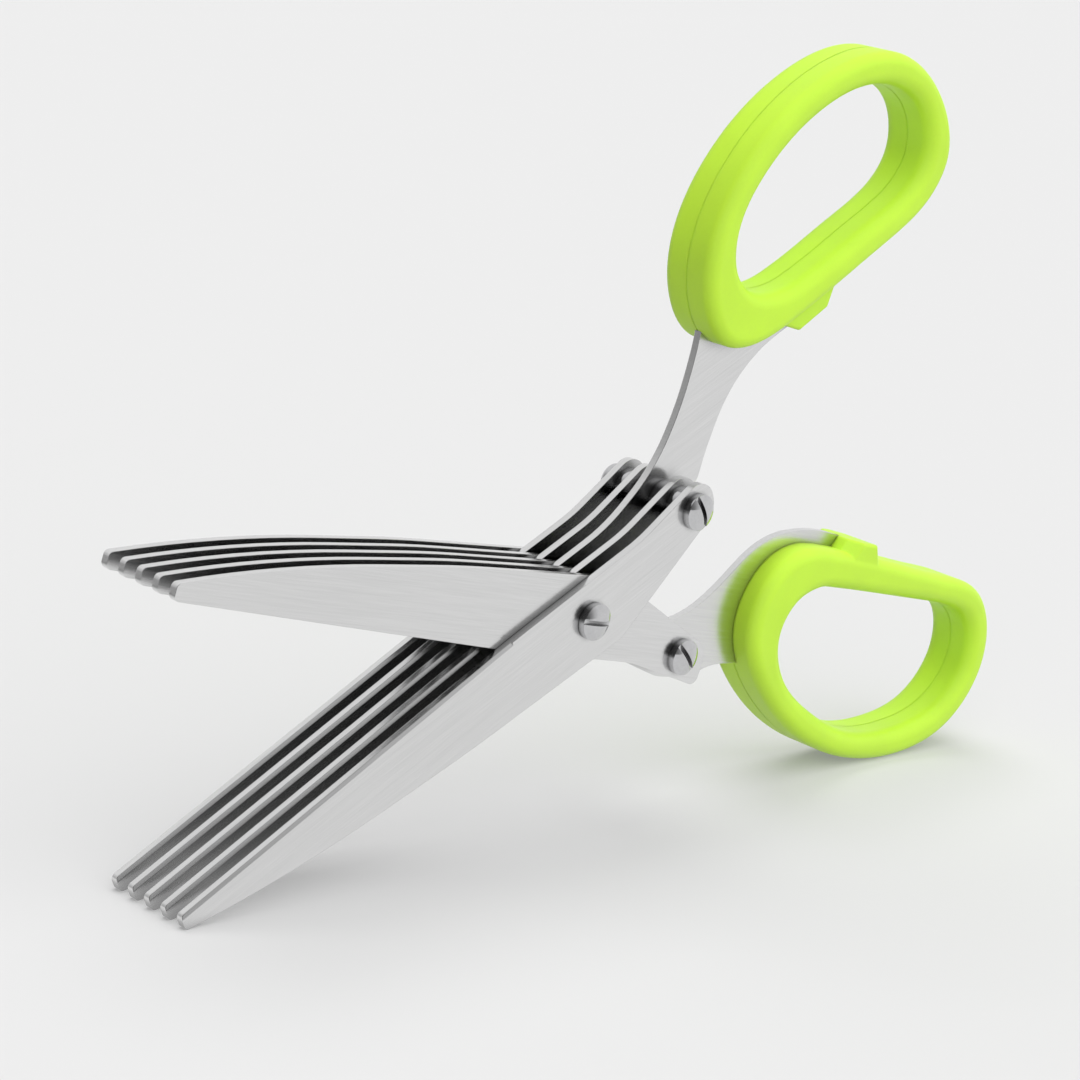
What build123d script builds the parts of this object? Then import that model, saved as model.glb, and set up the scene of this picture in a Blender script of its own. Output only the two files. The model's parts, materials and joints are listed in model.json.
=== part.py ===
from build123d import *
import os
from math import cos, radians, sin, sqrt, tan

# Herb scissors: two banks of five blades that pass between each other on one pivot screw.
# Lengths are in millimetres and angles in degrees. X runs along the scissors with the
# handles at +X, Y is along the pivot with the screw heads in front at -Y, and Z is up.
# Each half has a flat frame of its own: u runs from the pivot towards the handle, and v
# towards the side that carries the cutting edge, which is up in the upper half and down
# in the lower half. A corner of an outline is (u, v, radius).

# Stack of blades along the pivot
blade_count = 5
handle_blade_index = 2
plate_thickness = 1.3
slide_gap = 0.05
washer_thickness = 1.1
fit_clearance = 0.04
cut_overrun = 1.0
fillet_room_share = 0.995

# The two halves at rest on the blade noses and the lower loop
upper_slope = 28.2
rest_opening = 38.75
closing_travel = 36.6

# Blade
blade_reach = 85.0
nose_edge_rise = 4.5
nose_spine_rise = 2.0
nose_radius = 0.9
edge_rise = 6.65
edge_end_share = 0.19
edge_blend = 300.0
spine_drop = 7.1
spine_reach_shares = (0.353, 0.776)
spine_drop_shares = (0.77, 0.33)
spine_blend = 300.0
heel_reach = 5.0
heel_radius = 6.0
bevel_width = 0.6
bevel_land = 1.0

# Tang behind the pivot
waist_reach = 14.0
waist_rise = 6.5
waist_radius = 30.0
tang_slope = 19.5
tang_screw_reach = 26.2
tang_screw_rise = 4.5
tang_top_margin = 4.9
upper_tang_margin = 4.4
upper_tang_top_radius = 3.6
lower_tang_margin = 6.2
lower_tang_top_radius = 1.6
tang_low_radius = 3.6

# Screws, nuts, collars and washers
pivot_shaft_radius = 2.0
pivot_thread_radius = 1.5
tang_shaft_radius = 1.6
tang_thread_radius = 1.2
spacer_radius = 3.2
washer_radius = 4.2
head_radius = 3.0
head_rim_height = 1.2
head_crown_height = 0.8
slot_width = 0.8
slot_depth = 0.9
pivot_slot_turn = -8.0
upper_slot_turn = -60.0
lower_slot_turn = -50.0
nut_height = 2.4
nut_floor = 0.8
nut_edge_radius = 0.6

# Moulded loops
grip_depth = 10.8
outer_edge_share = 0.43
inner_edge_share = 0.49
grip_cover = 1.7
seam_width = 0.2
seam_depth = 0.08
upper_loop_length = 49.4
upper_loop_height = 25.1
upper_loop_reach = 74.5
upper_loop_rise = 27.0
upper_loop_tilt = 3.5
upper_thick_wall = 9.9
lower_loop_length = 59.4
lower_loop_height = 26.1
lower_loop_reach = 86.7
lower_loop_rise = -9.75
lower_loop_tilt = 0.0
lower_thick_wall = 9.8

# Points round each loop's hole, along the straight side, round the far end and over the bow
# to the neck: shares of the loop's length and height, and the wall there as a share of the
# thickest wall
upper_loop_shares = (
    (-0.24, 0.015, 0.6), (-0.08, 0.0, 0.57), (0.1, 0.0, 0.57), (0.27, 0.0, 0.57),
    (0.39, 0.045, 0.61), (0.46, 0.135, 0.66), (0.5, 0.42, 0.52), (0.385, 0.78, 0.56),
    (0.03, 1.0, 0.52), (-0.3, 0.875, 0.52), (-0.455, 0.66, 0.59), (-0.5, 0.42, 0.8),
    (-0.465, 0.22, 1.0), (-0.37, 0.08, 0.77),
)
lower_loop_shares = (
    (-0.33, 0.005, 0.7), (-0.17, 0.0, 0.66), (0.03, 0.0, 0.6), (0.2, 0.0, 0.545),
    (0.33, 0.01, 0.54), (0.41, 0.055, 0.565), (0.465, 0.155, 0.57), (0.5, 0.39, 0.57),
    (0.438, 0.7, 0.575), (0.25, 0.925, 0.555), (0.02, 1.0, 0.5), (-0.255, 0.858, 0.535),
    (-0.45, 0.59, 0.605), (-0.5, 0.34, 0.92), (-0.46, 0.13, 1.0), (-0.41, 0.055, 0.86),
)

# Corners of each shank, outwards and back. A neck corner is given as shares of the run from
# the tang's end to the loop's hole, of the rise from the tang's top to the loop's straight
# side, and of the run again. A tongue corner is given as shares of the loop's length, height
# and height
upper_outer_neck_shares = ((-0.227, 0.048, 1.46), (0.221, 0.469, 2.4), (0.615, 1.028, 2.0))
upper_tongue_shares = (
    (-0.58, 0.381, 0.12), (-0.242, 0.388, 0.0), (-0.244, -0.354, 0.02), (-0.424, -0.336, 1.04),
)
upper_inner_neck_shares = ((0.759, 0.267, 1.3), (0.365, -0.156, 2.6), (0.219, -0.364, 0.1))
lower_outer_neck_shares = ((-0.057, -0.042, 0.39), (0.301, -0.026, 0.45), (0.496, 0.115, 0.57))
lower_tongue_shares = (
    (-0.214, 0.52, 0.0), (-0.214, -0.316, 0.02), (-0.306, -0.349, 1.3), (-0.419, -0.349, 1.3),
)
lower_inner_neck_shares = (
    (0.862, 1.394, 0.79), (0.624, 1.23, 0.79), (0.354, 0.83, 1.8), (0.14, 0.567, 0.88),
    (-0.15, 0.428, 0.23),
)

# Blocks on the straight sides. When the scissors close, the upper one's near corner stops on
# the top edge of the lower shank, which the lower one covers the end of. A setback is from
# the middle of the loop's hole to the near end of the block
stop_gap = 0.3
stop_step = 0.25
stop_radius = 0.6
upper_stop_depth = 6.0
upper_stop_length = 7.4
upper_stop_setback = 13.0
upper_stop_flare = 7.2
lower_stop_depth = 10.2
lower_stop_length = 6.6
lower_stop_setback = 16.5
lower_stop_flare = 3.6
lower_stop_chamfer = 2.2

# Worked out from the sizes above
pitch = 2 * plate_thickness + washer_thickness + 2 * slide_gap
stack_depth = (blade_count - 1) * pitch + 2 * plate_thickness + slide_gap
lower_slope = upper_slope - rest_opening
closed_angle = rest_opening - closing_travel
tang_top_rise = tang_screw_rise + tang_top_margin
upper_tang_end = tang_screw_reach + upper_tang_margin
lower_tang_end = tang_screw_reach + lower_tang_margin
edge_run = blade_reach * (1 - edge_end_share)
edge_slope = (edge_rise - nose_edge_rise) / edge_run
ground_depth = plate_thickness - bevel_land
thinnest_wall = min(
    upper_thick_wall * min(share[2] for share in upper_loop_shares),
    lower_thick_wall * min(share[2] for share in lower_loop_shares),
)
front, back = (0, -1, 0), (0, 1, 0)


def half_plane(half, depth, turn=0.0):
    """The plane of a half at a depth along the pivot, turned about the pivot."""
    angle = radians((upper_slope if half == "upper" else lower_slope) + turn)
    facing = front if half == "upper" else back
    return Plane(origin=(0, depth, 0), x_dir=(cos(angle), 0, sin(angle)), z_dir=facing)


def in_half(half, u, v, depth):
    """A point of a half in the common frame."""
    frame = half_plane(half, depth)
    return frame.origin + frame.x_dir * u + frame.y_dir * v


def plate_front(half, index):
    """Depth of a blade's front face. Each lower blade slides behind its upper one."""
    return index * pitch + (0 if half == "upper" else plate_thickness + slide_gap)


def loop_corner(half, shares):
    """A corner given as shares of a loop, in the half's frame."""
    along, across, radius = shares
    if half == "upper":
        reach, rise, tilt = upper_loop_reach, upper_loop_rise, radians(upper_loop_tilt)
        x, y, r = along * upper_loop_length, across * upper_loop_height, radius * upper_loop_height
    else:
        reach, rise, tilt = lower_loop_reach, lower_loop_rise, radians(lower_loop_tilt)
        x, y, r = along * lower_loop_length, across * lower_loop_height, radius * lower_loop_height
    return reach + x * cos(tilt) - y * sin(tilt), rise + x * sin(tilt) + y * cos(tilt), r


def neck_corner(half, shares):
    """A corner given as shares of the neck between a tang and its loop, in the half's frame."""
    along, across, radius = shares
    if half == "upper":
        start, end, rise = upper_tang_end, upper_loop_reach - upper_loop_length / 2, upper_loop_rise
    else:
        start, end, rise = lower_tang_end, lower_loop_reach - lower_loop_length / 2, lower_loop_rise
    run = end - start
    return start + along * run, tang_top_rise + across * (rise - tang_top_rise), radius * run


def fitted_radii(corners):
    """The corners' radii, each kept to what the sides next to it have room for."""
    points = [Vector(u, v) for u, v, radius in corners]
    radii = [radius for u, v, radius in corners]
    following = [(i + 1) % len(corners) for i in range(len(corners))]
    slants = []
    for i, after in enumerate(following):
        turn = (points[i - 1] - points[i]).get_angle(points[after] - points[i])
        slants.append(tan(radians(turn / 2)))
    for i, after in enumerate(following):
        need = radii[i] / slants[i] + radii[after] / slants[after]
        room = (points[after] - points[i]).length * fillet_room_share
        if need > room:
            radii[i] *= room / need
            radii[after] *= room / need
    return radii


def outline(corners):
    """A closed line round corners. It goes inside a line block."""
    points = [(u, v) for u, v, radius in corners]
    return FilletPolyline(*points, radius=fitted_radii(corners), close=True)


def loop_line(half, growth, with_wall):
    """A loop's hole, or its rim with the wall added, grown all round. It goes inside a line block."""
    shares = upper_loop_shares if half == "upper" else lower_loop_shares
    thick_wall = upper_thick_wall if half == "upper" else lower_thick_wall
    hole = [loop_corner(half, (along, across, 0)) for along, across, wall in shares]
    points = []
    for i, (u, v, radius) in enumerate(hole):
        after = hole[(i + 1) % len(hole)]
        du, dv = after[0] - hole[i - 1][0], after[1] - hole[i - 1][1]
        size = sqrt(du * du + dv * dv)
        move = growth + (shares[i][2] * thick_wall if with_wall else 0)
        points.append((u + move * dv / size, v - move * du / size))
    return Spline(*points, periodic=True)


def blade_corners():
    """Corners of a blade from the heel along the spine and round the nose to the edge's end."""
    corners = [(heel_reach, -spine_drop, heel_radius)]
    for reach_share, drop_share in zip(spine_reach_shares, spine_drop_shares):
        corners.append((-blade_reach * reach_share, -spine_drop * drop_share, spine_blend))
    corners.append((-blade_reach, nose_spine_rise, nose_radius))
    corners.append((-blade_reach, nose_edge_rise, nose_radius))
    corners.append((-blade_reach * edge_end_share, edge_rise, edge_blend))
    corners.append((waist_reach, waist_rise, waist_radius))
    return corners


def tang_corners(half):
    """Corners of a plain blade's tang, from its top round the end."""
    end = upper_tang_end if half == "upper" else lower_tang_end
    top_radius = upper_tang_top_radius if half == "upper" else lower_tang_top_radius
    low_rise = (end - heel_reach) * tan(radians(tang_slope)) - spine_drop
    return [(end, tang_top_rise, top_radius), (end, low_rise, tang_low_radius)]


def shank_corners(half):
    """Corners of the shank that runs from the tang into the loop and back."""
    if half == "upper":
        outer, tongue, inner = upper_outer_neck_shares, upper_tongue_shares, upper_inner_neck_shares
    else:
        outer, tongue, inner = lower_outer_neck_shares, lower_tongue_shares, lower_inner_neck_shares
    corners = [neck_corner(half, share) for share in outer]
    corners += [loop_corner(half, share) for share in tongue]
    corners += [neck_corner(half, share) for share in inner]
    return corners


def bevel_plane(half, index):
    """The ground face of a cutting edge, which leans on the side away from the sliding face."""
    frame = half_plane(half, 0)
    outward = Vector(front if half == "upper" else back)
    outer_face = plate_front(half, index) + (0 if half == "upper" else plate_thickness)
    along = frame.x_dir + frame.y_dir * edge_slope
    across = frame.y_dir - frame.x_dir * edge_slope
    start = in_half(half, -blade_reach, nose_edge_rise, outer_face) - outward * ground_depth
    normal = across.normalized() * ground_depth + outward * bevel_width
    return Plane(origin=start - along.normalized() * cut_overrun, x_dir=along, z_dir=normal)


def make_plate(half, index):
    """One blade. The middle one runs on into the shank that carries the loop."""
    with_shank = index == handle_blade_index
    with BuildPart() as plate:
        with BuildSketch(half_plane(half, plate_front(half, index))):
            with BuildLine():
                outline(blade_corners() + (shank_corners(half) if with_shank else tang_corners(half)))
            make_face()
            if with_shank:
                with BuildLine():
                    loop_line(half, grip_cover, False)
                make_face(mode=Mode.SUBTRACT)
            Circle(pivot_shaft_radius + fit_clearance, mode=Mode.SUBTRACT)
            with Locations((tang_screw_reach, tang_screw_rise)):
                Circle(tang_shaft_radius + fit_clearance, mode=Mode.SUBTRACT)
        extrude(amount=plate_thickness, dir=back)
        with Locations(bevel_plane(half, index)):
            Box(edge_run + cut_overrun, 4 * bevel_width, bevel_width,
                align=(Align.MIN, Align.CENTER, Align.MIN), mode=Mode.SUBTRACT)
    return plate.part


def make_screw(place, shaft_radius, thread_radius, shaft_length, slot_turn):
    """A slotted screw with its head's seat at place and its shaft running to the back."""
    thread_length = nut_height - nut_floor
    section = Plane(origin=place, x_dir=(1, 0, 0), z_dir=(0, 0, -1))
    crown = Vector(place) + Vector(front) * (head_rim_height + head_crown_height)
    turn = radians(slot_turn)
    with BuildPart() as screw:
        with BuildSketch(section):
            with BuildLine():
                Polyline(
                    (0, head_rim_height + head_crown_height),
                    (0, -shaft_length - thread_length),
                    (thread_radius, -shaft_length - thread_length),
                    (thread_radius, -shaft_length),
                    (shaft_radius, -shaft_length),
                    (shaft_radius, 0),
                    (head_radius, 0),
                    (head_radius, head_rim_height),
                )
                RadiusArc(
                    (head_radius, head_rim_height),
                    (0, head_rim_height + head_crown_height),
                    -(head_radius**2 + head_crown_height**2) / (2 * head_crown_height),
                )
            make_face()
        revolve(axis=Axis(place, back))
        with Locations(Plane(origin=crown, x_dir=(cos(turn), 0, sin(turn)), z_dir=front)):
            Box(4 * head_radius, slot_width, slot_depth,
                align=(Align.CENTER, Align.CENTER, Align.MAX), mode=Mode.SUBTRACT)
    return screw.part


def make_nut(place, thread_radius):
    """A round blind nut seated at place, with its closed end at the back."""
    seat = Plane(origin=place, x_dir=(1, 0, 0), z_dir=back)
    with BuildPart() as nut:
        with BuildSketch(seat):
            Circle(head_radius)
        extrude(amount=nut_height)
        fillet(nut.edges().sort_by(Axis.Y)[-1], nut_edge_radius)
        with BuildSketch(seat):
            Circle(thread_radius + fit_clearance)
        extrude(amount=nut_height - nut_floor + fit_clearance, mode=Mode.SUBTRACT)
    return nut.part


def make_ring(place, outer_radius, bore_radius, length):
    """A collar or washer from place towards the back."""
    with BuildPart() as ring:
        with BuildSketch(Plane(origin=place, x_dir=(1, 0, 0), z_dir=back)):
            Circle(outer_radius)
            Circle(bore_radius + fit_clearance, mode=Mode.SUBTRACT)
        extrude(amount=length)
    return ring.part


def make_stop(half):
    """The block on a loop's straight side, with its flat face along that side."""
    mid = plate_front(half, handle_blade_index) + plate_thickness / 2
    shank_top = loop_corner("lower", lower_tongue_shares[-1])[1]
    if half == "upper":
        length, flare, depth = upper_stop_length, upper_stop_flare, upper_stop_depth
        turn, tilt = upper_loop_tilt, radians(upper_loop_tilt)
        start = upper_loop_reach * cos(tilt) + upper_loop_rise * sin(tilt) - upper_stop_setback
        side = upper_loop_rise * cos(tilt) - upper_loop_reach * sin(tilt)
        meeting = radians(upper_loop_tilt + closed_angle)
        face = (stop_gap - shank_top - start * sin(meeting)) / cos(meeting)
    else:
        length, flare, depth = lower_stop_length, lower_stop_flare, lower_stop_depth
        turn, start = lower_loop_tilt, lower_loop_reach - lower_stop_setback
        side = lower_loop_rise
        face = shank_top + stop_step
    end, root = start + length, side - thinnest_wall / 2
    frame = half_plane(half, mid, turn)
    with BuildPart() as stop:
        with BuildSketch(frame):
            with BuildLine():
                Polyline(
                    (start, face), (end, face), (end + flare, root), (start - flare, root),
                    close=True,
                )
            make_face()
        extrude(amount=depth / 2, both=True)
        if half == "lower":
            along = Axis((0, 0, 0), frame.x_dir)
            front_cap, back_cap = stop.faces().filter_by(Axis.Y).sort_by(Axis.Y)
            near_end = front_cap.edges().sort_by(along)[0]
            back_ends = back_cap.edges().sort_by(along)
            chamfer([near_end, back_ends[0], back_ends[-1]], lower_stop_chamfer)
        fillet(stop.edges(), stop_radius)
    return stop.part


def make_grip(half):
    """A moulded loop with its parting line, its stop and the slot for the shank."""
    mid = plate_front(half, handle_blade_index) + plate_thickness / 2
    stop = make_stop(half)
    with BuildPart() as grip:
        with BuildSketch(half_plane(half, mid)):
            with BuildLine():
                loop_line(half, 0, True)
            make_face()
            with BuildLine():
                loop_line(half, 0, False)
            make_face(mode=Mode.SUBTRACT)
        extrude(amount=grip_depth / 2, both=True)
        caps = grip.faces().filter_by(Axis.Y)
        outer_edges = [edge for cap in caps for edge in cap.outer_wire().edges()]
        fillet(outer_edges, outer_edge_share * thinnest_wall)
        caps = grip.faces().filter_by(Axis.Y)
        inner_edges = [edge for cap in caps for wire in cap.inner_wires() for edge in wire.edges()]
        fillet(inner_edges, inner_edge_share * thinnest_wall)
        with BuildSketch(half_plane(half, mid)):
            with BuildLine():
                loop_line(half, cut_overrun, True)
            make_face()
            with BuildLine():
                loop_line(half, -seam_depth, True)
            make_face(mode=Mode.SUBTRACT)
            with BuildLine():
                loop_line(half, seam_depth, False)
            make_face()
        extrude(amount=seam_width / 2, both=True, mode=Mode.SUBTRACT)
        add(stop)
        with BuildSketch(half_plane(half, plate_front(half, handle_blade_index))):
            with BuildLine():
                outline(blade_corners() + shank_corners(half))
            make_face()
            offset(amount=fit_clearance)
            with BuildLine():
                loop_line(half, grip_cover - fit_clearance, False)
            make_face(mode=Mode.SUBTRACT)
        extrude(amount=plate_thickness, dir=back, mode=Mode.SUBTRACT)
    return grip.part


pieces = {}
for half in ("upper", "lower"):
    screw_u, screw_v = tang_screw_reach, tang_screw_rise
    for index in range(blade_count):
        kind = "handle_blade" if index == handle_blade_index else f"blade_{index + 1}"
        pieces[f"{half}_{kind}"] = make_plate(half, index)
    for index in range(blade_count - 1):
        place = in_half(half, screw_u, screw_v, plate_front(half, index) + plate_thickness)
        pieces[f"{half}_spacer_{index + 1}"] = make_ring(
            place, spacer_radius, tang_shaft_radius, pitch - plate_thickness
        )
    clamp = (blade_count - 1) * pitch + plate_thickness
    head_seat = in_half(half, screw_u, screw_v, plate_front(half, 0))
    nut_seat = in_half(half, screw_u, screw_v, plate_front(half, 0) + clamp)
    slot_turn = upper_slot_turn if half == "upper" else lower_slot_turn
    pieces[f"{half}_tang_screw"] = make_screw(
        head_seat, tang_shaft_radius, tang_thread_radius, clamp, slot_turn
    )
    pieces[f"{half}_tang_nut"] = make_nut(nut_seat, tang_thread_radius)
    pieces[f"{half}_grip"] = make_grip(half)

for index in range(blade_count - 1):
    place = (0, index * pitch + 2 * plate_thickness + slide_gap, 0)
    pieces[f"pivot_washer_{index + 1}"] = make_ring(
        place, washer_radius, pivot_shaft_radius, washer_thickness
    )
pieces["pivot_screw"] = make_screw(
    (0, -slide_gap, 0), pivot_shaft_radius, pivot_thread_radius, stack_depth + slide_gap, pivot_slot_turn
)
pieces["pivot_nut"] = make_nut((0, stack_depth, 0), pivot_thread_radius)

# The origin is under the middle of the whole object, on the surface that it stands on
boxes = [piece.bounding_box() for piece in pieces.values()]
middle_x = (min(box.min.X for box in boxes) + max(box.max.X for box in boxes)) / 2
middle_y = (min(box.min.Y for box in boxes) + max(box.max.Y for box in boxes)) / 2
floor_z = min(box.min.Z for box in boxes)
to_origin = Location((-middle_x, -middle_y, -floor_z))

os.makedirs("parts", exist_ok=True)
for name, piece in pieces.items():
    placed = piece.moved(to_origin)
    placed.label = name
    export_step(placed, f"parts/{name}.step")

print("pivot at", round(-middle_x, 3), round(-middle_y, 3), round(-floor_z, 3))
for name in ("upper_blade_1", "lower_grip"):
    print(name, "lowest at", round(pieces[name].bounding_box().min.Z - floor_z, 3))
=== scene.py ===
"""Herb scissors: the finishes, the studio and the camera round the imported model."""

import json
import math

import bpy
from bpy.props import FloatProperty, FloatVectorProperty, PointerProperty
from mathutils import Matrix, Vector

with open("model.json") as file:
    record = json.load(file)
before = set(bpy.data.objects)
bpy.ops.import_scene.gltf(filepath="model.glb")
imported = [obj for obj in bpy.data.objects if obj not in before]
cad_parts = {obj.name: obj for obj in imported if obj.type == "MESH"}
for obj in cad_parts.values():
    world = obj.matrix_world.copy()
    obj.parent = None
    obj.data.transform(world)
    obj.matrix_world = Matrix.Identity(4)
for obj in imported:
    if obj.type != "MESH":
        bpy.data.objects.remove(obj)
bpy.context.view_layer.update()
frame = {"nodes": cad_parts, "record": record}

bl_info = {
    "name": "Herb scissors",
    "version": (1, 0, 0),
    "blender": (4, 5, 0),
    "location": "3D View > Sidebar > Herb scissors",
    "description": "Finishes the steel and the moulded loops of the herb scissors, and sets up the studio",
    "category": "Object",
}

# The names of the CAD nodes that each finish goes on
SLOT_NODES = {}
for subpart in frame["record"]["subparts"]:
    SLOT_NODES.setdefault(subpart["material_slot"], []).append(subpart["node"])

# The whole range of a value, and the part of it that most of a noise texture lies in
WHOLE_RANGE = (0.0, 1.0)
NOISE_RANGE = (0.3, 0.7)

# How nearly a softened normal agrees with the plain one on a rounded corner, and on a face
CORNER_RANGE = (0.72, 0.995)
CORNER_SAMPLES = 6

# How open the surroundings are in the darkest gap, and on an open face, between which painted shade darkens
# the steel's colour
PAINTED_SHADE_RANGE = (0.3, 0.78)
PAINTED_SHADE_SAMPLES = 8

# Shares of the colour and of the roughness, from the lowest to the highest value of each pattern.
# The corners run from the faces to the corners, where the colour is a little lighter
BLADE_TONE = {
    "lines": (0.96, 1.035),
    "bands": (0.985, 1.015),
    "clouds": (0.985, 1.015),
    "corners": (1.0, 1.06),
}
BLADE_GLOSS = {"lines": (0.86, 1.16), "clouds": (0.95, 1.05), "corners": (1.0, 0.7)}
FASTENER_TONE = {"marks": (0.96, 1.03), "clouds": (0.95, 1.03), "corners": (1.0, 1.08)}
FASTENER_GLOSS = {"marks": (0.8, 1.3), "clouds": (0.85, 1.2)}
PLASTIC_TONE = {"clouds": (0.96, 1.04), "grain": (0.99, 1.01), "corners": (1.0, 1.05)}
PLASTIC_GLOSS = {"grain": (0.92, 1.1), "clouds": (0.92, 1.08)}

# How far light goes under the plastic's surface in red, green and blue, as shares of its reach
PLASTIC_REACH_SHARES = (0.8, 1.0, 0.2)

# Cosines, from the middle of the dark side, at which the room is still pale and all dark
DARK_SIDE_RANGE = (-0.1, 0.7)

# The camera's film in millimetres, and the nearest and farthest that it sees in metres
FILM_WIDTH = 36.0
NEAREST, FARTHEST = 0.01, 100.0

# Distance between the nodes of a material, and how many stand in a row
NODE_STEP = (240, -320)
NODES_IN_ROW = 6


# Sizes and colours


class BladeSteelSettings(bpy.types.PropertyGroup):
    """Sizes and colours of the brushed steel"""

    colour: FloatVectorProperty(
        name="Colour",
        description="Colour of the clean blade steel",
        subtype="COLOR",
        min=0.0,
        max=1.0,
        default=(0.745, 0.745, 0.745),
    )
    roughness: FloatProperty(
        name="Roughness",
        description="How matt the brushed faces are",
        subtype="FACTOR",
        min=0.0,
        max=1.0,
        default=0.22,
    )
    grain_length: FloatProperty(
        name="Grain length",
        description="Length of one brushed line along the blade",
        subtype="DISTANCE",
        unit="LENGTH",
        default=0.009,
    )
    grain_width: FloatProperty(
        name="Grain width",
        description="Distance from one brushed line to the next up the face of a blade",
        subtype="DISTANCE",
        unit="LENGTH",
        default=0.00022,
    )
    edge_grain_width: FloatProperty(
        name="Edge grain width",
        description="Distance from one brushed line to the next across the thickness of a blade",
        subtype="DISTANCE",
        unit="LENGTH",
        default=0.00066,
    )
    grain_depth: FloatProperty(
        name="Grain depth",
        description="Depth of the brushed lines",
        subtype="DISTANCE",
        unit="LENGTH",
        default=0.000006,
    )
    bands: FloatProperty(
        name="Bands of brushing",
        description="Number of broad bands of brushing to each brushed line",
        default=0.22,
    )
    cloud_size: FloatVectorProperty(
        name="Cloud size",
        description="Size of a patch of uneven polish along, through and up the blade",
        subtype="XYZ_LENGTH",
        unit="LENGTH",
        default=(0.03, 0.03, 0.012),
    )
    # Painted shade: the steel's colour is darkened in the narrow gaps between the blades
    painted_shade_reach: FloatProperty(
        name="Painted shade reach",
        description="Width of a gap between blades in which the steel is darkened by painted shade",
        subtype="DISTANCE",
        unit="LENGTH",
        default=0.004,
    )
    painted_shade_tone: FloatProperty(
        name="Painted shade tone",
        description="Share of the steel's colour that is left in the darkest gap",
        subtype="FACTOR",
        min=0.0,
        max=1.0,
        default=0.4,
    )
    corner_radius: FloatProperty(
        name="Corner radius",
        description="Radius to which the corners of a plate are broken",
        subtype="DISTANCE",
        unit="LENGTH",
        default=0.00014,
    )
    upper_slope: FloatProperty(
        name="Upper half's slope",
        description="Angle at which the upper half's blades rise towards the handle",
        subtype="ANGLE",
        unit="ROTATION",
        default=math.radians(28.2),
    )
    lower_slope: FloatProperty(
        name="Lower half's slope",
        description="Angle at which the lower half's blades rise towards the handle",
        subtype="ANGLE",
        unit="ROTATION",
        default=math.radians(-10.55),
    )


class FastenerSettings(bpy.types.PropertyGroup):
    """Sizes and colours of the polished steel"""

    colour: FloatVectorProperty(
        name="Colour",
        description="Colour of the polished screws, nuts, washers and collars",
        subtype="COLOR",
        min=0.0,
        max=1.0,
        default=(0.60, 0.60, 0.61),
    )
    roughness: FloatProperty(
        name="Roughness",
        description="How matt the polished heads are",
        subtype="FACTOR",
        min=0.0,
        max=1.0,
        default=0.1,
    )
    mark_size: FloatProperty(
        name="Mark size",
        description="Size of the faint polishing marks",
        subtype="DISTANCE",
        unit="LENGTH",
        default=0.0004,
    )
    mark_depth: FloatProperty(
        name="Mark depth",
        description="Depth of the faint polishing marks",
        subtype="DISTANCE",
        unit="LENGTH",
        default=0.0000032,
    )
    clouds: FloatProperty(
        name="Clouds",
        description="Number of patches of uneven polish to each polishing mark",
        default=0.18,
    )
    # Painted shade: the steel's colour is darkened in the slots and round the heads
    painted_shade_reach: FloatProperty(
        name="Painted shade reach",
        description="Width of a gap, such as a screw's slot, in which the steel's colour is darkened by painted shade",
        subtype="DISTANCE",
        unit="LENGTH",
        default=0.0016,
    )
    painted_shade_tone: FloatProperty(
        name="Painted shade tone",
        description="Share of the steel's colour that is left in the darkest gap",
        subtype="FACTOR",
        min=0.0,
        max=1.0,
        default=0.15,
    )
    corner_radius: FloatProperty(
        name="Corner radius",
        description="Radius to which the corners of a head or a collar are polished",
        subtype="DISTANCE",
        unit="LENGTH",
        default=0.00012,
    )


class LoopPlasticSettings(bpy.types.PropertyGroup):
    """Sizes and colours of the moulded plastic"""

    colour: FloatVectorProperty(
        name="Colour",
        description="Colour of the moulded loops",
        subtype="COLOR",
        min=0.0,
        max=1.0,
        default=(0.54, 0.85, 0.045),
    )
    roughness: FloatProperty(
        name="Roughness",
        description="How matt the moulded surface is",
        subtype="FACTOR",
        min=0.0,
        max=1.0,
        default=0.46,
    )
    gloss: FloatProperty(
        name="Gloss",
        description="How strongly the moulded surface shines",
        subtype="FACTOR",
        min=0.0,
        max=1.0,
        default=0.45,
    )
    grain_size: FloatProperty(
        name="Grain size",
        description="Size of the fine grain that the mould leaves",
        subtype="DISTANCE",
        unit="LENGTH",
        default=0.0005,
    )
    grain_depth: FloatProperty(
        name="Grain depth",
        description="Depth of the fine grain that the mould leaves",
        subtype="DISTANCE",
        unit="LENGTH",
        default=0.000006,
    )
    clouds: FloatProperty(
        name="Clouds",
        description="Number of patches of uneven colour to each grain",
        default=0.035,
    )
    corner_radius: FloatProperty(
        name="Corner radius",
        description="Radius to which the moulded corners are softened",
        subtype="DISTANCE",
        unit="LENGTH",
        default=0.0006,
    )
    milkiness: FloatProperty(
        name="Milkiness",
        description="Share of the light that goes under the plastic's surface",
        subtype="FACTOR",
        min=0.0,
        max=1.0,
        default=0.12,
    )
    light_reach: FloatProperty(
        name="Light reach",
        description="How far that light goes under the plastic's surface",
        subtype="DISTANCE",
        unit="LENGTH",
        default=0.002,
    )


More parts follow.
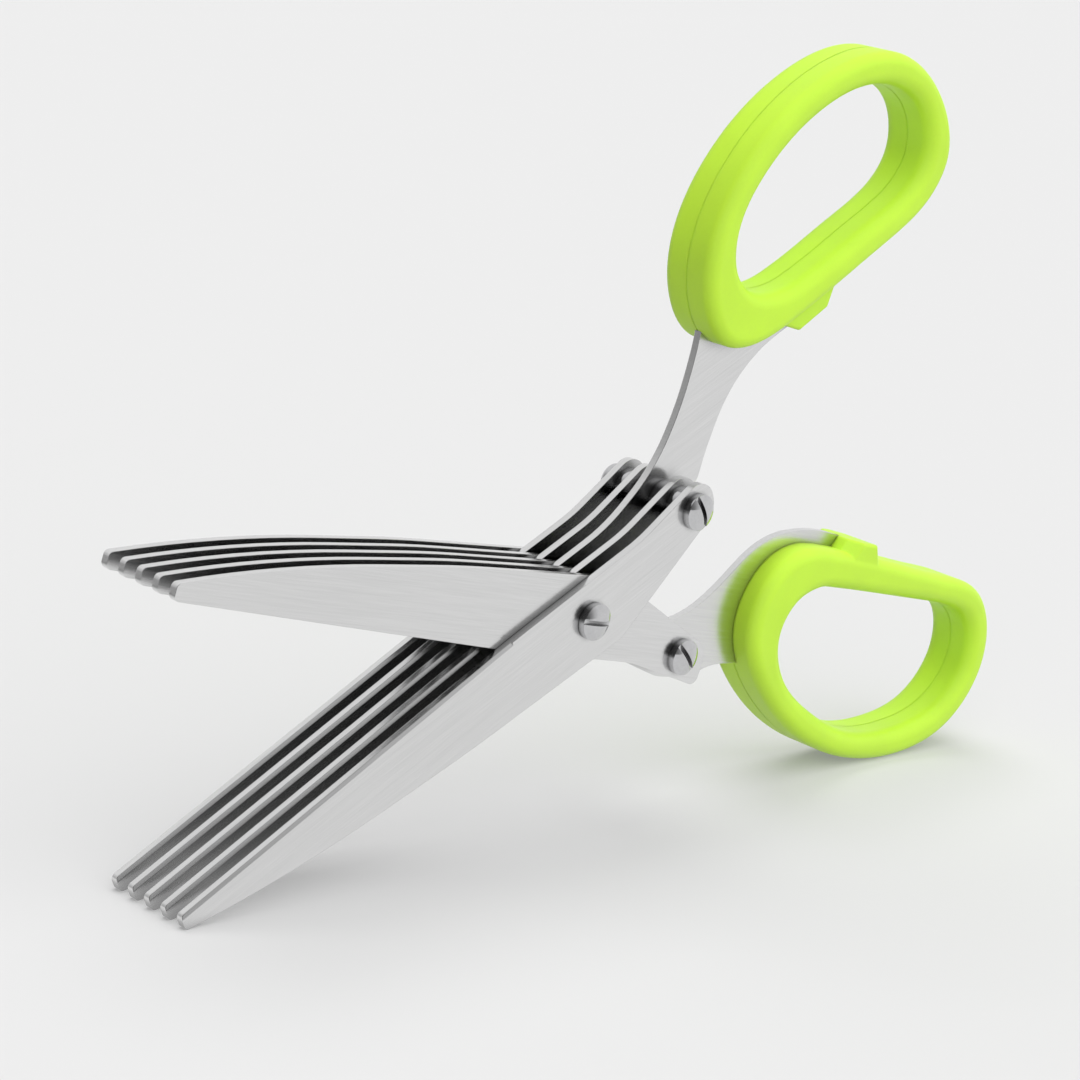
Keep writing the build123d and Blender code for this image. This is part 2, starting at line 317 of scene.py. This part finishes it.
class StudioSettings(bpy.types.PropertyGroup):
    """Sizes and colours of the floor, the light and the camera"""

    floor_size: FloatProperty(
        name="Floor size",
        description="Side of the square floor",
        subtype="DISTANCE",
        unit="LENGTH",
        default=8.0,
    )
    floor_colour: FloatVectorProperty(
        name="Floor colour",
        description="Colour of the plain floor under the light of the lamps",
        subtype="COLOR",
        min=0.0,
        max=1.0,
        default=(0.49, 0.49, 0.49),
    )
    floor_glow: FloatProperty(
        name="Floor glow",
        description="Share of the floor's paleness that no shadow takes away",
        subtype="FACTOR",
        min=0.0,
        max=1.0,
        default=0.22,
    )
    mirrored_paint: FloatProperty(
        name="Mirrored paint",
        description="Share of the floor's colour that is left where bright metal mirrors it",
        subtype="FACTOR",
        min=0.0,
        max=1.0,
        default=0.25,
    )
    mirrored_glow: FloatProperty(
        name="Mirrored glow",
        description="How many times stronger the floor's glow is where bright metal mirrors it",
        default=3.2,
    )
    mirrored_dusk: FloatProperty(
        name="Mirrored dusk",
        description="The same where the bright metal mirrors the floor past the blades' tips",
        default=0.6,
    )
    dusk_start: FloatProperty(
        name="Start of the dusk",
        description="How far from the middle, towards the tips, the mirrored floor starts to darken",
        subtype="DISTANCE",
        unit="LENGTH",
        default=0.11,
    )
    dusk_end: FloatProperty(
        name="End of the dusk",
        description="How far from the middle, towards the tips, the mirrored floor is darkest",
        subtype="DISTANCE",
        unit="LENGTH",
        default=0.22,
    )
    backdrop_colour: FloatVectorProperty(
        name="Backdrop colour",
        description="Colour that the camera and the bright metal see past the floor",
        subtype="COLOR",
        min=0.0,
        max=1.0,
        default=(0.855, 0.855, 0.855),
    )
    dark_colour: FloatVectorProperty(
        name="Dark side's colour",
        description="Colour that the bright metal sees on the side where no light stands",
        subtype="COLOR",
        min=0.0,
        max=1.0,
        default=(0.06, 0.06, 0.06),
    )
    dark_direction: FloatVectorProperty(
        name="Dark side's direction",
        description="Direction in which the middle of the dark side lies",
        subtype="DIRECTION",
        default=(-0.85, -0.50, 0.10),
    )
    room_light: FloatProperty(
        name="Room light",
        description="Strength of the even light from all round",
        default=0.3,
    )
    key_light: FloatProperty(
        name="Key light",
        description="Strength of the soft light from above and a little behind",
        default=1.65,
    )
    key_direction: FloatVectorProperty(
        name="Key light's direction",
        description="Direction in which the key light stands",
        subtype="DIRECTION",
        default=(0.09, 0.33, 0.94),
    )
    key_width: FloatProperty(
        name="Key light's width",
        description="How wide the key light looks from the floor, which softens its shadow",
        subtype="ANGLE",
        unit="ROTATION",
        default=math.radians(48.0),
    )
    window_light: FloatProperty(
        name="Window light",
        description="Strength of the wide light from the front",
        default=3.2,
    )
    window_direction: FloatVectorProperty(
        name="Window light's direction",
        description="Direction in which the window light stands",
        subtype="DIRECTION",
        default=(0.02, -0.88, 0.46),
    )
    window_width: FloatProperty(
        name="Window light's width",
        description="How wide the window light looks from the floor, which softens its shadow",
        subtype="ANGLE",
        unit="ROTATION",
        default=math.radians(130.0),
    )
    lens: FloatProperty(
        name="Lens",
        description="Focal length of the camera in millimetres",
        default=94.77,
    )
    camera_place: FloatVectorProperty(
        name="Camera place",
        description="Where the camera stands",
        subtype="TRANSLATION",
        unit="LENGTH",
        default=(-0.343101, -0.291381, 0.161296),
    )
    camera_aim: FloatVectorProperty(
        name="Camera aim",
        description="Point in the middle of the picture",
        subtype="TRANSLATION",
        unit="LENGTH",
        default=(-0.032666, -0.009010, 0.052686),
    )
    camera_roll: FloatProperty(
        name="Camera roll",
        description="How far the camera is tipped about its own line of sight",
        subtype="ANGLE",
        unit="ROTATION",
        default=math.radians(8.849),
    )


# Helpers for all nodes


def add_node(tree, kind, label):
    """A new node with a label, standing after the ones before it in rows."""
    row, column = divmod(len(tree.nodes), NODES_IN_ROW)
    node = tree.nodes.new(kind)
    node.label = label
    node.location = (column * NODE_STEP[0], row * NODE_STEP[1])
    return node


def combine(tree, operation, first, second, label):
    """Two values put together by one operation, such as MULTIPLY."""
    node = add_node(tree, "ShaderNodeMath", label)
    node.operation = operation
    tree.links.new(first, node.inputs[0])
    tree.links.new(second, node.inputs[1])
    return node.outputs["Value"]


def agreement(tree, first, second, label):
    """One where two directions are the same, and less the more they differ."""
    node = add_node(tree, "ShaderNodeVectorMath", label)
    node.operation = "DOT_PRODUCT"
    tree.links.new(first, node.inputs[0])
    if isinstance(second, bpy.types.NodeSocket):
        tree.links.new(second, node.inputs[1])
    else:
        node.inputs[1].default_value = second
    return node.outputs["Value"]


def spread(tree, value, source, target, label, easing="LINEAR"):
    """A value mapped from its source range to the target range."""
    node = add_node(tree, "ShaderNodeMapRange", label)
    node.interpolation_type = easing
    node.inputs["From Min"].default_value, node.inputs["From Max"].default_value = source
    node.inputs["To Min"].default_value, node.inputs["To Max"].default_value = target
    tree.links.new(value, node.inputs["Value"])
    return node.outputs["Result"]


def shaded_colour(tree, colour, value, label):
    """A colour made lighter or darker by a value round one."""
    node = add_node(tree, "ShaderNodeVectorMath", label)
    node.operation = "SCALE"
    node.inputs[0].default_value = colour
    tree.links.new(value, node.inputs["Scale"])
    return node.outputs["Vector"]


# Helpers for the finishes


def new_finish(name):
    """An empty material with one Principled shader, its nodes and its links."""
    material = bpy.data.materials.new(name)
    material.use_nodes = True
    tree = material.node_tree
    tree.nodes.clear()
    output = add_node(tree, "ShaderNodeOutputMaterial", "Finish")
    shader = add_node(tree, "ShaderNodeBsdfPrincipled", "Surface")
    tree.links.new(shader.outputs["BSDF"], output.inputs["Surface"])
    return material, tree, shader


def place_in_cells(tree, cell, turn=0.0):
    """The place on the piece, turned about Y and measured in cells of the given lengths."""
    place = add_node(tree, "ShaderNodeTexCoord", "Place on the piece")
    mapping = add_node(tree, "ShaderNodeMapping", "Place in cells")
    mapping.vector_type = "TEXTURE"
    mapping.inputs["Rotation"].default_value = (0.0, turn, 0.0)
    mapping.inputs["Scale"].default_value = cell
    tree.links.new(place.outputs["Object"], mapping.inputs["Vector"])
    return mapping.outputs["Vector"]


def noise(tree, place, label, detail, scale=1.0):
    """A noise pattern and its range. The scale is the number of its cells to each cell of the place."""
    texture = add_node(tree, "ShaderNodeTexNoise", label)
    texture.inputs["Scale"].default_value = scale
    texture.inputs["Detail"].default_value = detail
    tree.links.new(place, texture.inputs["Vector"])
    return texture.outputs["Fac"], NOISE_RANGE


def rounded_corners(tree, radius):
    """The softened normal, and the pattern that is one on the corners and zero on the faces."""
    bevel = add_node(tree, "ShaderNodeBevel", "Softened corners")
    bevel.samples = CORNER_SAMPLES
    bevel.inputs["Radius"].default_value = radius
    soft = bevel.outputs["Normal"]
    plain = add_node(tree, "ShaderNodeNewGeometry", "Plain corners").outputs["Normal"]
    faces = agreement(tree, soft, plain, "Faces")
    corners = spread(tree, faces, CORNER_RANGE, (1.0, 0.0), "Corners")
    return soft, (corners, WHOLE_RANGE)


def painted_shade_in_gaps(tree, tone, reach, darkest):
    """A tone that is left as it is on open faces and falls in narrow gaps: painted shade, darkening the
    colour where the surroundings close in.
    """
    node = add_node(tree, "ShaderNodeAmbientOcclusion", "Openness")
    node.samples = PAINTED_SHADE_SAMPLES
    node.inputs["Distance"].default_value = reach
    gaps = spread(tree, node.outputs["AO"], PAINTED_SHADE_RANGE, (darkest, 1.0), "Painted shade in narrow gaps")
    return combine(tree, "MULTIPLY", tone, gaps, "Tone with painted shade")


def variation(tree, patterns, shares, label, middle=1.0):
    """A value round the middle one that follows several patterns, each by its own shares."""
    total = None
    for name, (low, high) in shares.items():
        pattern, source = patterns[name]
        if total is None:
            total = spread(tree, pattern, source, (middle * low, middle * high), f"{label} by {name}")
        else:
            part = spread(tree, pattern, source, (low, high), f"{label} by {name}")
            total = combine(tree, "MULTIPLY", total, part, label)
    return total


def relief(tree, pattern, depth, normal):
    """The normal of a surface that has the pattern in relief."""
    bump = add_node(tree, "ShaderNodeBump", "Relief")
    bump.inputs["Strength"].default_value = 1.0
    bump.inputs["Distance"].default_value = depth
    tree.links.new(pattern[0], bump.inputs["Height"])
    tree.links.new(normal, bump.inputs["Normal"])
    return bump.outputs["Normal"]


def connect(tree, shader, colour, roughness, normal):
    """Links a finish's colour, roughness and normal to its shader."""
    tree.links.new(colour, shader.inputs["Base Color"])
    tree.links.new(roughness, shader.inputs["Roughness"])
    tree.links.new(normal, shader.inputs["Normal"])


def wear(names, material):
    """Puts a finish on the CAD nodes with these names."""
    for name in names:
        if name not in frame["nodes"]:
            raise RuntimeError(f"The packed model has no node {name}")
        piece = frame["nodes"][name]
        piece.data.materials.clear()
        piece.data.materials.append(material)


# Finishes


def blade_steel(settings, name, slope):
    """Brushed steel with its grain along the blades of one half."""
    material, tree, shader = new_finish(name)
    cell = (settings.grain_length, settings.edge_grain_width, settings.grain_width)
    along = place_in_cells(tree, cell, -slope)
    broad = place_in_cells(tree, settings.cloud_size, -slope)
    normal, corners = rounded_corners(tree, settings.corner_radius)
    patterns = {
        "lines": noise(tree, along, "Brushed lines", 3.0),
        "bands": noise(tree, along, "Bands of brushing", 2.0, settings.bands),
        "clouds": noise(tree, broad, "Uneven polish", 2.0),
        "corners": corners,
    }
    tone = variation(tree, patterns, BLADE_TONE, "Tone")
    # Painted shade: the colour is darkened in the gaps between the blades
    tone = painted_shade_in_gaps(tree, tone, settings.painted_shade_reach, settings.painted_shade_tone)
    gloss = variation(tree, patterns, BLADE_GLOSS, "Roughness", settings.roughness)
    bumps = relief(tree, patterns["lines"], settings.grain_depth, normal)
    connect(tree, shader, shaded_colour(tree, settings.colour, tone, "Steel"), gloss, bumps)
    shader.inputs["Metallic"].default_value = 1.0
    return material


def fastener_steel(settings):
    """Polished steel with faint turning and handling marks."""
    material, tree, shader = new_finish("Fastener steel")
    size = settings.mark_size
    place = place_in_cells(tree, (size, size, size))
    normal, corners = rounded_corners(tree, settings.corner_radius)
    patterns = {
        "marks": noise(tree, place, "Polishing marks", 4.0),
        "clouds": noise(tree, place, "Uneven polish", 2.0, settings.clouds),
        "corners": corners,
    }
    tone = variation(tree, patterns, FASTENER_TONE, "Tone")
    # Painted shade: the colour is darkened in the slots and round the heads
    tone = painted_shade_in_gaps(tree, tone, settings.painted_shade_reach, settings.painted_shade_tone)
    gloss = variation(tree, patterns, FASTENER_GLOSS, "Roughness", settings.roughness)
    bumps = relief(tree, patterns["marks"], settings.mark_depth, normal)
    connect(tree, shader, shaded_colour(tree, settings.colour, tone, "Steel"), gloss, bumps)
    shader.inputs["Metallic"].default_value = 1.0
    return material


def loop_plastic(settings):
    """Moulded plastic with a fine mould grain and slightly paler corners."""
    material, tree, shader = new_finish("Loop plastic")
    size = settings.grain_size
    place = place_in_cells(tree, (size, size, size))
    normal, corners = rounded_corners(tree, settings.corner_radius)
    patterns = {
        "grain": noise(tree, place, "Mould grain", 3.0),
        "clouds": noise(tree, place, "Uneven colour", 2.0, settings.clouds),
        "corners": corners,
    }
    tone = variation(tree, patterns, PLASTIC_TONE, "Tone")
    gloss = variation(tree, patterns, PLASTIC_GLOSS, "Roughness", settings.roughness)
    bumps = relief(tree, patterns["grain"], settings.grain_depth, normal)
    connect(tree, shader, shaded_colour(tree, settings.colour, tone, "Plastic"), gloss, bumps)
    shader.inputs["Specular IOR Level"].default_value = settings.gloss
    shader.inputs["Subsurface Weight"].default_value = settings.milkiness
    shader.inputs["Subsurface Radius"].default_value = PLASTIC_REACH_SHARES
    shader.inputs["Subsurface Scale"].default_value = settings.light_reach
    return material


# Studio


def lay_floor(settings):
    """A plain pale floor under the scissors, which keeps their shadow."""
    bpy.ops.object.select_all(action="DESELECT")
    bpy.ops.mesh.primitive_plane_add(size=settings.floor_size, location=(0.0, 0.0, 0.0))
    floor = bpy.context.object
    floor.name = "studio_floor"
    material, tree, shader = new_finish("Studio floor")
    path = add_node(tree, "ShaderNodeLightPath", "What looks at the floor")
    camera, glossy = path.outputs["Is Camera Ray"], path.outputs["Is Glossy Ray"]
    paint = spread(tree, glossy, WHOLE_RANGE, (1.0, settings.mirrored_paint), "Paint or its mirror image")
    place = add_node(tree, "ShaderNodeTexCoord", "Place on the floor")
    along = add_node(tree, "ShaderNodeSeparateXYZ", "Along the scissors")
    tree.links.new(place.outputs["Object"], along.inputs["Vector"])
    # The glow is for the camera and the bright metal alone, so it lights nothing
    glow = settings.floor_glow
    seen = spread(tree, camera, WHOLE_RANGE, (0.0, glow), "Glow for the camera")
    tips_to_middle = (-settings.dusk_end, -settings.dusk_start)
    levels = (glow * settings.mirrored_dusk, glow * settings.mirrored_glow)
    image = spread(tree, along.outputs["X"], tips_to_middle, levels, "Glow with its dusk")
    mirrored = combine(tree, "MULTIPLY", glossy, image, "Glow for bright metal")
    strength = combine(tree, "MAXIMUM", seen, mirrored, "Glow")
    tree.links.new(shaded_colour(tree, settings.floor_colour, paint, "Floor"), shader.inputs["Base Color"])
    tree.links.new(strength, shader.inputs["Emission Strength"])
    shader.inputs["Emission Color"].default_value = (1.0, 1.0, 1.0, 1.0)
    shader.inputs["Roughness"].default_value = 1.0
    shader.inputs["Specular IOR Level"].default_value = 0.0
    floor.data.materials.append(material)


def room_colour(tree, settings):
    """The backdrop's colour, darkened smoothly towards the side where no light stands."""
    place = add_node(tree, "ShaderNodeTexCoord", "Direction in the room")
    direction = Vector(settings.dark_direction).normalized()
    near = agreement(tree, place.outputs["Generated"], direction, "Nearness to the dark side")
    dark = spread(tree, near, DARK_SIDE_RANGE, WHOLE_RANGE, "Dark side", "SMOOTHSTEP")
    node = add_node(tree, "ShaderNodeMix", "Backdrop with its dark side")
    node.data_type = "RGBA"
    # A mix node has its colours at inputs 6 and 7 and at output 2
    node.inputs[6].default_value = (*settings.backdrop_colour, 1.0)
    node.inputs[7].default_value = (*settings.dark_colour, 1.0)
    tree.links.new(dark, node.inputs["Factor"])
    return node.outputs[2]


def choice(tree, chooser, first, second, label):
    """The first shader where the chooser is zero, and the second where it is one."""
    node = add_node(tree, "ShaderNodeMixShader", label)
    tree.links.new(chooser, node.inputs["Fac"])
    tree.links.new(first, node.inputs[1])
    tree.links.new(second, node.inputs[2])
    return node.outputs["Shader"]


def light_room(settings):
    """An even light for dull surfaces, and a pale room with a dark side for bright metal."""
    world = bpy.data.worlds.new("Studio")
    bpy.context.scene.world = world
    world.use_nodes = True
    tree = world.node_tree
    tree.nodes.clear()
    output = add_node(tree, "ShaderNodeOutputWorld", "Room")
    path = add_node(tree, "ShaderNodeLightPath", "What looks at the room")
    light = add_node(tree, "ShaderNodeBackground", "Even light")
    light.inputs["Strength"].default_value = settings.room_light
    mirrored = add_node(tree, "ShaderNodeBackground", "Room in bright metal")
    tree.links.new(room_colour(tree, settings), mirrored.inputs["Color"])
    seen = add_node(tree, "ShaderNodeBackground", "Room behind the floor")
    seen.inputs["Color"].default_value = (*settings.backdrop_colour, 1.0)
    glossy, through = path.outputs["Is Glossy Ray"], path.outputs["Is Transmission Ray"]
    clear = combine(tree, "MAXIMUM", glossy, through, "Mirrored or seen through")
    lit = choice(tree, clear, light.outputs["Background"], mirrored.outputs["Background"], "Light or image")
    room = choice(tree, path.outputs["Is Camera Ray"], lit, seen.outputs["Background"], "Room or backdrop")
    tree.links.new(room, output.inputs["Surface"])


def add_lamp(name, direction, strength, width):
    """A wide lamp, as far away as the sun, that stands in the given direction."""
    bpy.ops.object.select_all(action="DESELECT")
    bpy.ops.object.light_add(type="SUN", location=direction)
    lamp = bpy.context.object
    lamp.name = name
    lamp.rotation_euler = Vector(direction).to_track_quat("Z", "Y").to_euler()
    lamp.data.energy = strength
    lamp.data.angle = width
    # The narrow edges of the blades would mirror the lamp and burn white
    lamp.visible_glossy = False


def place_camera(settings):
    """The camera at the photograph's angle."""
    place = Vector(settings.camera_place)
    aim = Vector(settings.camera_aim)
    bpy.ops.object.select_all(action="DESELECT")
    bpy.ops.object.camera_add(location=place)
    camera = bpy.context.object
    camera.name = "Camera"
    level = (place - aim).to_track_quat("Z", "Y").to_matrix().to_4x4()
    tipped = level @ Matrix.Rotation(settings.camera_roll, 4, "Z")
    camera.rotation_euler = tipped.to_euler()
    camera.data.sensor_width = FILM_WIDTH
    camera.data.lens = settings.lens
    camera.data.clip_start = NEAREST
    camera.data.clip_end = FARTHEST
    bpy.context.scene.camera = camera


# Operators


class HERBSCISSORS_OT_finish_blades(bpy.types.Operator):
    """Give the ten blades of the two halves their brushed steel"""

    bl_idname = "herbscissors.finish_blades"
    bl_label = "Finish the blades"

    def execute(self, context):
        settings = context.scene.herb_blade_steel
        blades = SLOT_NODES["blade_steel"]
        upper = blade_steel(settings, "Upper blade steel", settings.upper_slope)
        lower = blade_steel(settings, "Lower blade steel", settings.lower_slope)
        wear([name for name in blades if name.startswith("upper")], upper)
        wear([name for name in blades if name.startswith("lower")], lower)
        return {"FINISHED"}


class HERBSCISSORS_OT_finish_fasteners(bpy.types.Operator):
    """Give the screws, nuts, washers and collars their polished steel"""

    bl_idname = "herbscissors.finish_fasteners"
    bl_label = "Finish the fasteners"

    def execute(self, context):
        wear(SLOT_NODES["fastener_steel"], fastener_steel(context.scene.herb_fasteners))
        return {"FINISHED"}


class HERBSCISSORS_OT_finish_loops(bpy.types.Operator):
    """Give the two finger loops their moulded plastic"""

    bl_idname = "herbscissors.finish_loops"
    bl_label = "Finish the loops"

    def execute(self, context):
        wear(SLOT_NODES["loop_plastic"], loop_plastic(context.scene.herb_loop_plastic))
        return {"FINISHED"}


class HERBSCISSORS_OT_set_up_studio(bpy.types.Operator):
    """Lay the floor, light the room and place the camera"""

    bl_idname = "herbscissors.set_up_studio"
    bl_label = "Set up the studio"

    def execute(self, context):
        settings = context.scene.herb_studio
        lay_floor(settings)
        light_room(settings)
        add_lamp("Key light", settings.key_direction, settings.key_light, settings.key_width)
        add_lamp("Window light", settings.window_direction, settings.window_light, settings.window_width)
        place_camera(settings)
        context.scene.view_settings.view_transform = "Standard"
        return {"FINISHED"}


class VIEW3D_PT_herb_scissors(bpy.types.Panel):
    """The finishes and the studio of the herb scissors"""

    bl_label = "Herb scissors"
    bl_idname = "VIEW3D_PT_herb_scissors"
    bl_space_type = "VIEW_3D"
    bl_region_type = "UI"
    bl_category = "Herb scissors"

    def draw(self, context):
        scene = context.scene
        for label, settings, operator in (
            ("Blades", scene.herb_blade_steel, "herbscissors.finish_blades"),
            ("Fasteners", scene.herb_fasteners, "herbscissors.finish_fasteners"),
            ("Loops", scene.herb_loop_plastic, "herbscissors.finish_loops"),
            ("Studio", scene.herb_studio, "herbscissors.set_up_studio"),
        ):
            box = self.layout.box()
            box.label(text=label)
            for prop in settings.bl_rna.properties:
                if prop.identifier not in {"rna_type", "name"}:
                    box.prop(settings, prop.identifier)
            box.operator(operator)


CLASSES = (
    BladeSteelSettings,
    FastenerSettings,
    LoopPlasticSettings,
    StudioSettings,
    HERBSCISSORS_OT_finish_blades,
    HERBSCISSORS_OT_finish_fasteners,
    HERBSCISSORS_OT_finish_loops,
    HERBSCISSORS_OT_set_up_studio,
    VIEW3D_PT_herb_scissors,
)


def register():
    """Adds the settings, the operators and the panel."""
    for cls in CLASSES:
        bpy.utils.register_class(cls)
    bpy.types.Scene.herb_blade_steel = PointerProperty(type=BladeSteelSettings)
    bpy.types.Scene.herb_fasteners = PointerProperty(type=FastenerSettings)
    bpy.types.Scene.herb_loop_plastic = PointerProperty(type=LoopPlasticSettings)
    bpy.types.Scene.herb_studio = PointerProperty(type=StudioSettings)


def unregister():
    """Takes the settings, the operators and the panel away again."""
    del bpy.types.Scene.herb_studio
    del bpy.types.Scene.herb_loop_plastic
    del bpy.types.Scene.herb_fasteners
    del bpy.types.Scene.herb_blade_steel
    for cls in reversed(CLASSES):
        bpy.utils.unregister_class(cls)


def main():
    """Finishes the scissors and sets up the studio."""
    register()
    bpy.ops.herbscissors.finish_blades()
    bpy.ops.herbscissors.finish_fasteners()
    bpy.ops.herbscissors.finish_loops()
    bpy.ops.herbscissors.set_up_studio()


if __name__ == "__main__":
    main()
